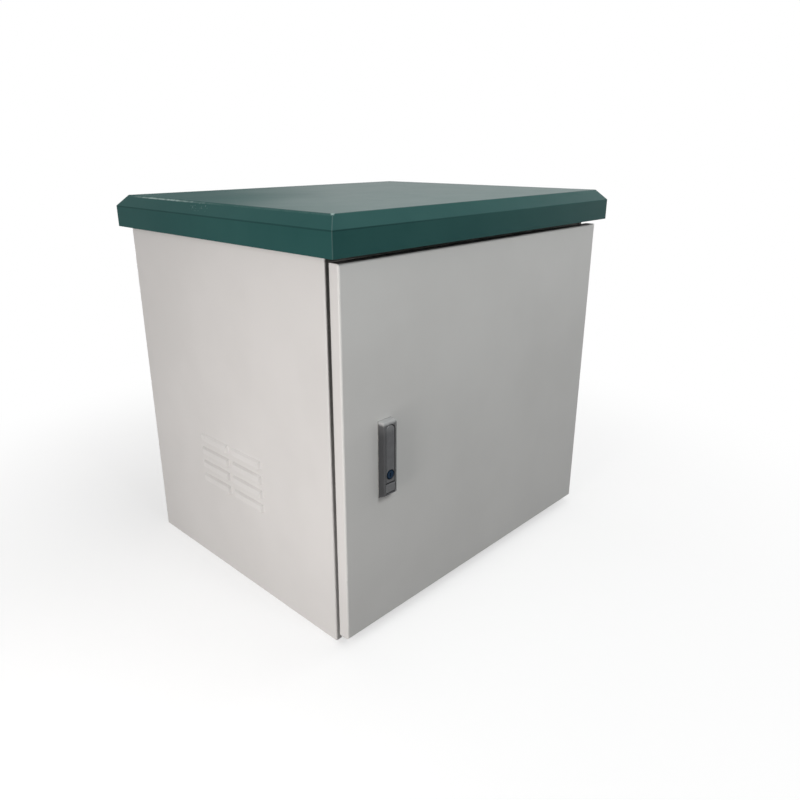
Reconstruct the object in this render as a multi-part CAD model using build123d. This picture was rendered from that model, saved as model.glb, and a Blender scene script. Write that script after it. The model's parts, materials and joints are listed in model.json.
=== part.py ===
from build123d import *
import math
import os

os.makedirs("parts", exist_ok=True)

# Roadside utility cabinet, in millimetres. The origin is the middle of the body's footprint,
# at ground level. The door is on -Y, hinged on +X, and +Z is up.

# Body
BODY_WIDTH = 600
BODY_DEPTH = 480
OVERALL_HEIGHT = 600
SHEET = 1.5  # body and door steel
BEND = 3.0  # outside radius of a fold
RETURN_FLANGE = 10  # side panel's front and back returns
OVERRUN = 5  # how far a cut runs past the face it opens
RUNNING_GAP = 0.05  # radial clearance of a pin or shaft
SLIDING_GAP = 0.6  # clearance round a piece that moves in a pocket

# Roof
ROOF_SHEET = 1.5
ROOF_SKIRT = 32.5
ROOF_BEVEL_RISE = 16.5
ROOF_BEVEL_RUN = 15.5
ROOF_HEM = 6  # inward fold at the foot of the skirt
ROOF_SIDE_OVERHANG = 17
ROOF_FRONT_OVERHANG = 10  # beyond the door
ROOF_BACK_OVERHANG = 9
ROOF_GAP = 28.5  # air space between canopy and top pan
ROOF_RAIL_SPREAD = 320  # between the middles of the two rails
ROOF_RAIL_LENGTH = 380
ROOF_RAIL_WIDTH = 26  # top of the hat section
ROOF_RAIL_FOOT = 20  # each foot of the hat section
ROOF_BOLT_END = 45  # bolt from the rail's end
ROOF_EDGE = 1.2  # softened edges
ROOF_BOLT = 8  # square shank
ROOF_BOLT_FLATS = 13
ROOF_BOLT_HEAD = 5.3
ROOF_NUT = 6.5

# Base and top
BASE_HEIGHT = 40
BASE_FOOT = 30  # foot flange that rests on the plinth
ANCHOR_INSET_X = 20  # anchor hole from the body's side
ANCHOR_INSET_Y = 50  # and from its front or back
ANCHOR_RADIUS = 5.5
TOP_UPSTAND = 18  # collar that keeps rain out of the vent

# Louvres in the side panels
LOUVRE_COLUMNS = 2
LOUVRE_ROWS = 4
LOUVRE_LENGTH = 77
LOUVRE_HEIGHT = 13
LOUVRE_DEPTH = 5
LOUVRE_COLUMN_GAP = 9
LOUVRE_PITCH = 24
LOUVRE_FOOT = 146  # lower edge of the lowest row
LOUVRE_LIP_SHARE = 0.2  # of its height, where the curve starts
LOUVRE_CROWN_SHARES = (0.62, 0.78)  # of its depth and height, where the curve turns

# Filter cassettes behind the louvres
FILTER_BORDER = 12  # cassette beyond the louvre field
FILTER_DEPTH = 14
FILTER_WALL = 2
FILTER_LEDGE = 8  # rim that holds the mat
FILTER_BARS = 3
FILTER_BAR_WIDTH = 5

# Front frame and door
OPENING_MARGIN = 38  # from the door's edge to the door opening
RAIN_LIP = 14
DOOR_BOTTOM = 15
DOOR_TOP_GAP = 8  # under the roof skirt
DOOR_GAP = 8  # between the body and the door's back edge
DOOR_DEPTH = 17
DOOR_RETURN = 10
GASKET_WIDTH = 12
GASKET_GAP = 0.3
STIFFENER_WIDTH = 44
STIFFENER_CROWN = 20
STIFFENER_DEPTH = 9
STIFFENER_END_GAP = 14  # short of the gasket, top and bottom

# Hinges
HINGE_EDGE = 10  # axis from the door's edge
HINGE_DEPTH = 9  # axis from the door's face
HINGE_END = 75  # middle of a hinge from the door's end
HINGE_LEAF = 2.5
HINGE_LEAF_HEIGHT = 50
BODY_LEAF_WIDTH = 18
DOOR_LEAF_WIDTH = 20
DOOR_LEAF = 2.0
KNUCKLE_RADIUS = 4.5
KNUCKLE_HEIGHT = 16
KNUCKLE_GAP = 0.5
HINGE_PIN_RADIUS = 2.5
NOTCH_DEPTH = 12  # relief in the door's edge for the hinge arm
NOTCH_SIDE_GAP = 3
HINGE_SCREW = 5
HINGE_SCREW_HEAD = 2.2
HINGE_SCREW_FLATS = 8
HINGE_SCREW_SPREAD = 32
HINGE_SCREW_LENGTH = 6

# Handle and lock
HANDLE_EDGE = 74.5  # middle of the handle from the door's edge
HANDLE_CENTRE = 272.5  # height of the handle's middle
HOUSING_WIDTH = 25
HOUSING_HEIGHT = 113
HOUSING_DEPTH = 11
HOUSING_HEEL = 5.5  # how far the lower end leans in towards the front
HOUSING_BROW_HEIGHT = 4  # bevel along the top of the front
HOUSING_BROW_DEPTH = 2
HOUSING_TOP_RIM = 4.6  # housing above the lever's round top
HOUSING_RIM = 2.8
HOUSING_EDGE = 1.0  # softened edges
HOUSING_FLOOR = 1.5
NECK_WIDTH = 20
NECK_END = 5  # neck short of the housing at each end
NECK_DEPTH = 14
NECK_GAP = 0.3
HANDLE_SEAL = 1.0
LEVER_THICKNESS = 6.5
LEVER_SINK = 0.4  # lever's face below the rim
LEVER_EDGE = 1.3  # softened edges
LEVER_HEEL = 5.5  # slant behind the pivot that lets the lever lift
LEVER_SKIN = 1.0
PIVOT_DEPTH = 4.4  # pivot behind the lever's face
LEVER_PIN_RADIUS = 1.25
LEVER_PIN_END_GAP = 0.8
TONGUE_WIDTH = 7.6
SPINDLE_RADIUS = 5
SPINDLE_TAIL = 7  # square that drives the cam
CAM_THICKNESS = 3
CAM_WIDTH = 20
CAM_REACH = 50
CAM_GAP = 3  # behind the front frame
CAM_CORNER = 5
CAM_BOLT_HEAD = 4
CAM_BOLT_FLATS = 11
BUTTON_HEIGHT = 13
BUTTON_DEPTH = 7
BUTTON_PROUD = 0.4
BUTTON_EDGE = 0.9  # softened edges
LEVER_BUTTON_GAP = 0.9
KEY_DROP = 21.5  # key below the handle's middle
BARREL_RADIUS = 6
BARREL_CLEARANCE = 1.5  # round the barrel where it passes the lever
PLUG_RADIUS = 4.2
PLUG_TAIL = 5
KEY_CAP_THICKNESS = 1.2
KEYWAY_WIDTH = 1.4
KEYWAY_LENGTH = 6
KEYWAY_DEPTH = 9
CLAMP_SHEET = 2
CLAMP_HEIGHT = 16
CLAMP_RISE = 8  # clamp above the handle's middle
CLAMP_SCREW = 4
CLAMP_SCREW_FLATS = 7
CLAMP_SCREW_HEAD = 2.6
CLAMP_SCREW_LENGTH = 8
CLAMP_SCREW_SPREAD = 10

# Rack
RACK_PITCH = 44.45  # height of one unit
RACK_HOLE_STEP = 15.875  # between the three holes of one unit
RACK_HOLE = 9.5
RACK_SIDE = 75  # rack opening from the body's side
RACK_HOLE_INSET = 7.55  # column of holes from the rack opening
RACK_SETBACK = 45  # front rails behind the front frame
RAIL_SHEET = 2
RAIL_FACE = 20
RAIL_LEG = 34
RAIL_END = 33  # least plain end beyond the holes
RAIL_FOOT_GAP = 5  # rail above the base pan
DEPTH_RAIL_HEIGHT = 24
DEPTH_RAIL_FLANGE = 25
DEPTH_SLOT_LENGTH = 100
DEPTH_SLOT_WIDTH = 7
RACK_BOLT = 6  # square shank
RACK_BOLT_FLATS = 10
RACK_BOLT_HEAD = 4
RACK_BOLT_LENGTH = 12

# Roof vent
VENT_RAIL_GAP = 7  # between the vent's guard and the roof rails
VENT_DEPTH = 110
VENT_SET_BACK = 60  # vent behind the middle of the cabinet
GUARD_SHEET = 1.2
GUARD_OVERLAP = 10
GUARD_SLOTS = 9
GUARD_SLOT_SHARE = 0.5  # of the slots' spacing

# Cable entry and earth
GLAND_WIDTH = 240
GLAND_DEPTH = 110
GLAND_SHEET = 2
GLAND_OVERLAP = 14
GLAND_SET_BACK = 110
CABLE_SLOT_WIDTH = 160
CABLE_SLOT_DEPTH = 40
CABLE_SEAL_HEIGHT = 14
CABLE_SEAL_GRIP = 8  # seal on each side of its slot
GLAND_SCREW = 5
GLAND_SCREW_FLATS = 8
GLAND_SCREW_HEAD = 2.6
GLAND_SCREW_INSET = 7
EARTH_EDGE = 70  # stud from the body's side
EARTH_SET_BACK = 150
EARTH_RADIUS = 4
EARTH_LENGTH = 26
EARTH_FOOT_FLATS = 16
EARTH_FOOT = 2

# Places that follow from the sizes above
half_width = BODY_WIDTH / 2
front = -BODY_DEPTH / 2
back = BODY_DEPTH / 2
inner_side = half_width - SHEET
body_height = OVERALL_HEIGHT - ROOF_SHEET - ROOF_GAP
roof_bottom = OVERALL_HEIGHT - ROOF_BEVEL_RISE - ROOF_SKIRT
frame_front = front + SHEET
frame_back = frame_front + SHEET
panel_front = back - SHEET - SHEET
door_top = roof_bottom - DOOR_TOP_GAP
door_back = front - DOOR_GAP
door_front = door_back - DOOR_DEPTH
skin_back = door_front + SHEET
opening_half = half_width - OPENING_MARGIN
opening_bottom = DOOR_BOTTOM + OPENING_MARGIN
opening_top = door_top - OPENING_MARGIN
opening_middle = (opening_bottom + opening_top) / 2
lip_front = frame_front - RAIN_LIP
rail_bottom = BASE_HEIGHT + RAIL_FOOT_GAP
rail_top = 2 * opening_middle - rail_bottom
rack_units = int((rail_top - rail_bottom - 2 * RAIL_END) / RACK_PITCH)
rack_bottom = opening_middle - rack_units * RACK_PITCH / 2
rack_top = opening_middle + rack_units * RACK_PITCH / 2
rack_half = half_width - RACK_SIDE
rail_outer = rack_half + RAIL_FACE
hinge_x = half_width - HINGE_EDGE
hinge_y = door_front + HINGE_DEPTH
hinge_heights = {"lower": DOOR_BOTTOM + HINGE_END, "upper": door_top - HINGE_END}
handle_x = -half_width + HANDLE_EDGE
housing_back = door_front - HANDLE_SEAL
housing_front = housing_back - HOUSING_DEPTH
housing_bottom = HANDLE_CENTRE - HOUSING_HEIGHT / 2
housing_top = HANDLE_CENTRE + HOUSING_HEIGHT / 2
pocket_floor = housing_back - HOUSING_FLOOR
pocket_half = HOUSING_WIDTH / 2 - HOUSING_RIM
pocket_bottom = housing_bottom + HOUSING_HEEL + HOUSING_RIM
pocket_top = housing_top - HOUSING_TOP_RIM
neck_back = housing_back + NECK_DEPTH
lever_half = pocket_half - SLIDING_GAP
lever_front = housing_front + LEVER_SINK
cap_back = lever_front + KEY_CAP_THICKNESS
lever_back = lever_front + LEVER_THICKNESS
pivot_y = lever_front + PIVOT_DEPTH
pivot_z = pocket_top - pocket_half
tongue_radius = PIVOT_DEPTH - LEVER_SKIN - SLIDING_GAP
button_bottom = pocket_bottom + SLIDING_GAP
button_top = button_bottom + BUTTON_HEIGHT
button_front = housing_front - BUTTON_PROUD
lever_bottom = button_top + LEVER_BUTTON_GAP
key_z = HANDLE_CENTRE - KEY_DROP
cam_front = frame_back + CAM_GAP
cam_back = cam_front + CAM_THICKNESS
clamp_z = HANDLE_CENTRE + CLAMP_RISE
louvre_field = LOUVRE_COLUMNS * LOUVRE_LENGTH + (LOUVRE_COLUMNS - 1) * LOUVRE_COLUMN_GAP
louvre_top = LOUVRE_FOOT + (LOUVRE_ROWS - 1) * LOUVRE_PITCH + LOUVRE_HEIGHT
rack_front = frame_front + RACK_SETBACK
pan_under = body_height - SHEET
rail_feet = ROOF_RAIL_WIDTH + 2 * ROOF_RAIL_FOOT
vent_width = ROOF_RAIL_SPREAD - rail_feet - 2 * (GUARD_OVERLAP + VENT_RAIL_GAP)

nodes = {}


def block(x, y, z):
    """Box between a pair of limits along each axis."""
    limits = (x, y, z)
    middle = [(low + high) / 2 for low, high in limits]
    size = [high - low for low, high in limits]
    return Pos(*middle) * Box(*size)


def span(middle, size):
    """Pair of limits about a middle."""
    return (middle - size / 2, middle + size / 2)


def rod(radius, start, end):
    """Round bar from one point to another."""
    start = Vector(*start)
    run = Vector(*end) - start
    place = Plane(origin=start, z_dir=run)
    return place * Cylinder(radius, run.length, align=(Align.CENTER, Align.CENTER, Align.MIN))


def hexagon(flats, start, end):
    """Six-sided bar from one point to another."""
    start = Vector(*start)
    run = Vector(*end) - start
    place = Plane(origin=start, z_dir=run)
    return extrude(place * RegularPolygon(flats / 2, 6, major_radius=False), run.length)


def bolt(flats, shank, start, seat, end):
    """Six-sided head from start to seat and a square shank from there to its end."""
    run = Vector(*end) - Vector(*seat)
    place = Plane(origin=seat, z_dir=run)
    return hexagon(flats, start, seat) + extrude(place * Rectangle(shank, shank), run.length)


def upright(y):
    """Drawing plane across the cabinet, seen from the front."""
    return Plane(origin=(0, y, 0), x_dir=(1, 0, 0), z_dir=(0, -1, 0))


def slab(outline, y_front, y_back):
    """Plate of an outline drawn across the cabinet."""
    return extrude(upright(y_back) * outline, y_back - y_front)


def tray(length, width, depth, foot, corner):
    """Folded tray, skin up at z = 0, with four walls down and an inward foot along each."""
    shell = Pos(0, 0, -depth / 2) * Box(length, width, depth)
    inside = span(0, length - 2 * SHEET), span(0, width - 2 * SHEET)
    hollow = block(*inside, (-depth + SHEET, -SHEET))
    if corner:
        shell = chamfer(shell.edges().filter_by(Axis.Z), corner)
        hollow = chamfer(hollow.edges().filter_by(Axis.Z), corner)
    mouth = block(span(0, length - 2 * foot), span(0, width - 2 * foot), (-depth - OVERRUN, -depth / 2))
    return shell - hollow - mouth


def group(solids):
    """Several like solids in one node."""
    return Compound(children=[piece for solid in solids for piece in solid.solids()])


def corners(x_spread, y_spread):
    """Four corners of a rectangle about the origin."""
    return [(x, y) for x in (-x_spread / 2, x_spread / 2) for y in (-y_spread / 2, y_spread / 2)]


def hat(length, crown, foot, depth, sheet):
    """Hat section along Y, with its feet on z = 0."""
    channel = block(span(0, crown), span(0, length), (0, depth))
    hollow = block(span(0, crown - 2 * sheet), span(0, length + OVERRUN), (-OVERRUN, depth - sheet))
    feet = block(span(0, crown + 2 * foot), span(0, length), (0, sheet))
    return channel + feet - hollow


def louvre(inset, root):
    """Louvre's outside where the inset is zero, or its hollow where it is the sheet."""
    depth, height = LOUVRE_DEPTH - inset, LOUVRE_HEIGHT - inset
    foot_half = LOUVRE_LENGTH / 2 - inset
    across, up = LOUVRE_CROWN_SHARES
    profile = Polyline(
        (-root, 0), (depth, 0), (depth, height * LOUVRE_LIP_SHARE), (depth * across, height * up),
        (0, height), (-root, height), close=True,
    )
    side = Plane(origin=(0, foot_half, 0), x_dir=(1, 0, 0), z_dir=(0, -1, 0))
    plan = Polyline(
        (-root, -foot_half), (0, -foot_half), (depth, depth - foot_half),
        (depth, foot_half - depth), (0, foot_half), (-root, foot_half), close=True,
    )
    return extrude(side * make_face(profile), 2 * foot_half) & extrude(make_face(plan), height)


def louvre_places():
    """Middle of each louvre's lower edge, along the panel and up it."""
    first = (LOUVRE_LENGTH - louvre_field) / 2
    step = LOUVRE_LENGTH + LOUVRE_COLUMN_GAP
    columns = [first + column * step for column in range(LOUVRE_COLUMNS)]
    rows = [LOUVRE_FOOT + row * LOUVRE_PITCH for row in range(LOUVRE_ROWS)]
    return [(y, z) for y in columns for z in rows]


def side_panels():
    """Folded side walls with their louvres."""
    flange = half_width - RETURN_FLANGE
    panel = block((flange, half_width), (front, back), (0, body_height))
    panel = fillet(panel.edges().filter_by(Axis.Z).group_by(Axis.X)[-1], BEND)
    hollow_height = (-OVERRUN, body_height + OVERRUN)
    hollow = block((flange - OVERRUN, inner_side), (frame_front, back - SHEET), hollow_height)
    panel -= fillet(hollow.edges().filter_by(Axis.Z).group_by(Axis.X)[-1], BEND - SHEET)
    pressed = louvre(0, SHEET)
    opened = louvre(SHEET, SHEET + OVERRUN)
    places = [Pos(half_width, y, z) for y, z in louvre_places()]
    panel += [place * pressed for place in places]
    panel -= [place * opened for place in places]
    nodes["right_side_panel"] = panel
    nodes["left_side_panel"] = mirror(panel, Plane.YZ)


def filters():
    """Cassettes and mats that cover the louvres from inside."""
    length = louvre_field + 2 * FILTER_BORDER
    low, high = LOUVRE_FOOT - FILTER_BORDER, louvre_top + FILTER_BORDER
    face = inner_side - FILTER_DEPTH
    mat = block(
        (face + FILTER_WALL, inner_side),
        span(0, length - 2 * FILTER_WALL),
        (low + FILTER_WALL, high - FILTER_WALL),
    )
    cassette = block((face, inner_side), span(0, length), (low, high)) - mat
    window = length - 2 * FILTER_LEDGE
    window_height = (low + FILTER_LEDGE, high - FILTER_LEDGE)
    cassette -= block((face - OVERRUN, inner_side), span(0, window), window_height)
    step = (window + FILTER_BAR_WIDTH) / (FILTER_BARS + 1)
    for bar in range(FILTER_BARS):
        middle = (bar - (FILTER_BARS - 1) / 2) * step
        cassette += block((face, face + FILTER_WALL), span(middle, FILTER_BAR_WIDTH), (low, high))
    for name, shape in (("filter_cassette", cassette), ("filter_mat", mat)):
        nodes[f"right_{name}"] = shape
        nodes[f"left_{name}"] = mirror(shape, Plane.YZ)


def back_panel():
    """Flat back sheet behind the side panels' returns."""
    width = BODY_WIDTH - 2 * BEND
    nodes["back_panel"] = block(span(0, width), (panel_front, back - SHEET), (0, body_height))


def gland_screw_places():
    """Screws near the corners of the gland plate."""
    spread = corners(GLAND_WIDTH - 2 * GLAND_SCREW_INSET, GLAND_DEPTH - 2 * GLAND_SCREW_INSET)
    return [(x, GLAND_SET_BACK + y) for x, y in spread]


def base():
    """Base pan on its foot flanges, and the gland plate with its foam cable seals."""
    pan = tray(2 * inner_side, panel_front - frame_back, BASE_HEIGHT, BASE_FOOT, BEND)
    pan = Pos(0, 0, BASE_HEIGHT) * pan
    for x, y in corners(BODY_WIDTH - 2 * ANCHOR_INSET_X, BODY_DEPTH - 2 * ANCHOR_INSET_Y):
        pan -= rod(ANCHOR_RADIUS, (x, y, -OVERRUN), (x, y, SHEET + OVERRUN))
    cable_width = GLAND_WIDTH - 2 * GLAND_OVERLAP
    cable_depth = GLAND_DEPTH - 2 * GLAND_OVERLAP
    under, top = BASE_HEIGHT - SHEET - OVERRUN, BASE_HEIGHT + GLAND_SHEET
    pan -= block(span(0, cable_width), span(GLAND_SET_BACK, cable_depth), (under, top))
    plate = block(span(0, GLAND_WIDTH), span(GLAND_SET_BACK, GLAND_DEPTH), (BASE_HEIGHT, top))
    slot = span(0, CABLE_SLOT_WIDTH), span(GLAND_SET_BACK, CABLE_SLOT_DEPTH)
    plate -= block(*slot, (under, top + OVERRUN))
    hole = GLAND_SCREW + 2 * RUNNING_GAP
    screws = []
    for x, y in gland_screw_places():
        passage = block(span(x, hole), span(y, hole), (under, top))
        pan -= passage
        plate -= passage
        head = top + GLAND_SCREW_HEAD
        screws.append(bolt(GLAND_SCREW_FLATS, GLAND_SCREW, (x, y, head), (x, y, top), (x, y, under)))
    seal_top = top + CABLE_SEAL_HEIGHT
    seal_x = span(0, CABLE_SLOT_WIDTH + 2 * CABLE_SEAL_GRIP)
    rear_edge = GLAND_SET_BACK + CABLE_SLOT_DEPTH / 2 + CABLE_SEAL_GRIP
    front_edge = GLAND_SET_BACK - CABLE_SLOT_DEPTH / 2 - CABLE_SEAL_GRIP
    nodes["base_pan"] = pan
    nodes["gland_plate"] = plate
    nodes["gland_plate_screws"] = group(screws)
    nodes["rear_cable_seal"] = block(seal_x, (GLAND_SET_BACK, rear_edge), (top, seal_top))
    nodes["front_cable_seal"] = block(seal_x, (front_edge, GLAND_SET_BACK), (top, seal_top))


def earth():
    """Earth stud, welded to the base pan by its foot."""
    x, y = -half_width + EARTH_EDGE, EARTH_SET_BACK
    seat = BASE_HEIGHT + EARTH_FOOT
    stud = hexagon(EARTH_FOOT_FLATS, (x, y, BASE_HEIGHT), (x, y, seat))
    nodes["earth_stud"] = stud + rod(EARTH_RADIUS, (x, y, seat), (x, y, BASE_HEIGHT + EARTH_LENGTH))


def front_frame():
    """Frame round the door opening, with the rain lip that the gasket closes on."""
    height = opening_top - opening_bottom
    place = Pos(0, opening_middle)
    clear = place * Rectangle(2 * opening_half, height)
    lip = place * Rectangle(2 * (opening_half + SHEET), height + 2 * SHEET)
    frame = block(span(0, BODY_WIDTH - 2 * BEND), (frame_front, frame_back), (0, body_height))
    frame -= slab(clear, frame_front - OVERRUN, frame_back + OVERRUN)
    frame += slab(lip - clear, lip_front, frame_front)
    for x, z in hinge_screw_places():
        hole = HINGE_SCREW + 2 * RUNNING_GAP
        frame -= block(span(x, hole), (frame_front, frame_back), span(z, hole))
    nodes["front_frame"] = frame


def top():
    """Top pan with its collar and guarded vent, and the two bolted rails that carry the canopy."""
    pan = tray(2 * inner_side, panel_front - frame_back, TOP_UPSTAND, SHEET, BEND)
    pan = Pos(0, 0, pan_under) * Rot(180, 0, 0) * pan
    pan -= block(span(0, vent_width), span(VENT_SET_BACK, VENT_DEPTH), (pan_under, body_height))
    guard_z = (body_height, body_height + GUARD_SHEET)
    overlap = 2 * GUARD_OVERLAP
    guard = block(span(0, vent_width + overlap), span(VENT_SET_BACK, VENT_DEPTH + overlap), guard_z)
    pitch = vent_width / GUARD_SLOTS
    for slot in range(GUARD_SLOTS):
        x = (slot - (GUARD_SLOTS - 1) / 2) * pitch
        guard -= block(span(x, pitch * GUARD_SLOT_SHARE), span(VENT_SET_BACK, VENT_DEPTH), guard_z)
    nodes["vent_guard"] = guard
    rail = hat(ROOF_RAIL_LENGTH, ROOF_RAIL_WIDTH, ROOF_RAIL_FOOT, ROOF_GAP, SHEET)
    seat = body_height + SHEET
    tip = seat + ROOF_NUT + SHEET
    hole = ROOF_BOLT + 2 * RUNNING_GAP
    offset = (ROOF_RAIL_WIDTH + ROOF_RAIL_FOOT) / 2
    bolts, nuts = [], []
    for name, middle in zip(("left", "right"), span(0, ROOF_RAIL_SPREAD)):
        placed = Pos(middle, 0, body_height) * rail
        for x, y in zip((middle - offset, middle + offset), span(0, ROOF_RAIL_LENGTH - 2 * ROOF_BOLT_END)):
            passage = block(span(x, hole), span(y, hole), (pan_under, tip))
            placed -= passage
            pan -= passage
            head = pan_under - ROOF_BOLT_HEAD
            bolts.append(bolt(ROOF_BOLT_FLATS, ROOF_BOLT, (x, y, head), (x, y, pan_under), (x, y, tip)))
            nut = block(span(x, ROOF_BOLT_FLATS), span(y, ROOF_BOLT_FLATS), (seat, seat + ROOF_NUT))
            nuts.append(nut - passage)
        nodes[f"{name}_roof_rail"] = placed
    nodes["top_pan"] = pan
    nodes["roof_bolts"] = group(bolts)
    nodes["roof_nuts"] = group(nuts)


def bevelled(inset):
    """Solid under the canopy's outside, or under its inside where the inset is the sheet."""
    x_size = BODY_WIDTH + 2 * ROOF_SIDE_OVERHANG - 2 * inset
    y_front = door_front - ROOF_FRONT_OVERHANG
    y_back = back + ROOF_BACK_OVERHANG
    y_size = y_back - y_front - 2 * inset
    lean = math.atan2(ROOF_BEVEL_RUN, ROOF_BEVEL_RISE)
    shoulder = OVERALL_HEIGHT - ROOF_BEVEL_RISE - inset * math.tan(lean / 2)
    run = ROOF_BEVEL_RUN - inset + inset * math.tan((math.pi / 2 - lean) / 2)
    centre = Pos(0, (y_front + y_back) / 2)
    foot = roof_bottom + inset
    skirt = extrude(Plane.XY.offset(foot) * centre * Rectangle(x_size, y_size), shoulder - foot)
    lower = Plane.XY.offset(shoulder) * centre * Rectangle(x_size, y_size)
    upper = Plane.XY.offset(OVERALL_HEIGHT - inset) * centre * Rectangle(x_size - 2 * run, y_size - 2 * run)
    return skirt + loft([lower, upper], ruled=True)


def canopy():
    """Folded roof with a bevel on all four sides and a hem under its skirt."""
    outside = bevelled(0)
    rims = outside.edges().filter_by(Plane.XY)
    outside = fillet([rim for rim in rims if rim.center().Z > roof_bottom], ROOF_EDGE)
    roof = outside - bevelled(ROOF_SHEET)
    box = outside.bounding_box()
    mouth = block(
        (box.min.X + ROOF_HEM, box.max.X - ROOF_HEM),
        (box.min.Y + ROOF_HEM, box.max.Y - ROOF_HEM),
        (roof_bottom - OVERRUN, roof_bottom + 2 * ROOF_SHEET),
    )
    nodes["roof_canopy"] = roof - mouth


def rack():
    """Slotted depth rails along the walls and the pair of drilled rack rails bolted to them."""
    levels = {"lower": (rail_bottom + rack_bottom) / 2, "upper": (rack_top + rail_top) / 2}
    inside = rail_outer - RAIL_SHEET
    web = rail_outer + RAIL_SHEET
    edge = rail_outer + DEPTH_RAIL_FLANGE
    run = (frame_back, panel_front)
    face = (rack_front, rack_front + RAIL_SHEET)
    heights = (rail_bottom, rail_top)
    rail = block((rack_half, rail_outer), face, heights)
    rail += block((inside, rail_outer), (rack_front, rack_front + RAIL_LEG), heights)
    units = [rack_bottom + unit * RACK_PITCH + RACK_PITCH / 2 for unit in range(rack_units)]
    holes = [middle + step * RACK_HOLE_STEP for middle in units for step in (-1, 0, 1)]
    column = span(rack_half + RACK_HOLE_INSET, RACK_HOLE)
    rail -= [block(column, face, span(z, RACK_HOLE)) for z in holes]
    middle = rack_front + RAIL_LEG / 2
    bolts, nuts = [], []
    for level, z in levels.items():
        hole = span(middle, RACK_BOLT + 2 * RUNNING_GAP), span(z, RACK_BOLT + 2 * RUNNING_GAP)
        rail -= block((inside, rail_outer), *hole)
        ends = [(x, middle, z) for x in (inside - RACK_BOLT_HEAD, inside, inside + RACK_BOLT_LENGTH)]
        bolts.append(bolt(RACK_BOLT_FLATS, RACK_BOLT, *ends))
        nut = (web, web + RACK_BOLT_HEAD), span(middle, RACK_BOLT_FLATS), span(z, RACK_BOLT_FLATS)
        nuts.append(block(*nut) - block(nut[0], *hole))
        channel = block((rail_outer, edge), run, span(z, DEPTH_RAIL_HEIGHT))
        channel -= block((web, edge), run, span(z, DEPTH_RAIL_HEIGHT - 2 * RAIL_SHEET))
        for y in (middle, -middle):
            channel -= block((rail_outer, web), span(y, DEPTH_SLOT_LENGTH), span(z, DEPTH_SLOT_WIDTH))
        nodes[f"right_{level}_depth_rail"] = channel
        nodes[f"left_{level}_depth_rail"] = mirror(channel, Plane.YZ)
    nodes["right_rack_rail"] = rail
    nodes["left_rack_rail"] = mirror(rail, Plane.YZ)
    nodes["rack_rail_bolts"] = group(bolts + [mirror(piece, Plane.YZ) for piece in bolts])
    nodes["rack_rail_nuts"] = group(nuts + [mirror(piece, Plane.YZ) for piece in nuts])


def door():
    """Folded door, its gasket and its stiffener."""
    height = door_top - DOOR_BOTTOM
    pan = tray(BODY_WIDTH, height, DOOR_DEPTH, DOOR_RETURN, 0)
    pan = fillet(pan.edges().group_by(Axis.Z)[-1], BEND)
    panel = Pos(0, door_front, DOOR_BOTTOM + height / 2) * Rot(90, 0, 0) * pan
    edge = (half_width - DOOR_RETURN - OVERRUN, half_width + OVERRUN)
    for z in hinge_heights.values():
        relief = (z - KNUCKLE_HEIGHT - NOTCH_SIDE_GAP, z + NOTCH_SIDE_GAP)
        panel -= block(edge, (door_back - NOTCH_DEPTH, door_back + OVERRUN), relief)
    panel -= neck(NECK_GAP, door_front - OVERRUN, skin_back + OVERRUN)
    lip_half = opening_half + SHEET / 2
    lip_height = opening_top - opening_bottom + SHEET
    bead = [
        Pos(0, opening_middle) * Rectangle(2 * lip_half + grow, lip_height + grow)
        for grow in (GASKET_WIDTH, -GASKET_WIDTH)
    ]
    gasket_back = lip_front - GASKET_GAP
    stiffener_length = opening_top - opening_bottom - GASKET_WIDTH - 2 * STIFFENER_END_GAP
    foot = (STIFFENER_WIDTH - STIFFENER_CROWN) / 2
    stiffener = hat(stiffener_length, STIFFENER_CROWN, foot, STIFFENER_DEPTH, SHEET)
    nodes["door_panel"] = panel
    nodes["door_gasket"] = slab(bead[0] - bead[1], skin_back, gasket_back)
    nodes["door_stiffener"] = Pos(0, skin_back, opening_middle) * Rot(-90, 0, 0) * stiffener


def hinge_screw_places():
    """Screws of both body leaves, across and up the front frame."""
    x = hinge_x - KNUCKLE_RADIUS - BODY_LEAF_WIDTH / 2
    return [(x, z) for middle in hinge_heights.values() for z in span(middle, HINGE_SCREW_SPREAD)]


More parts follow.
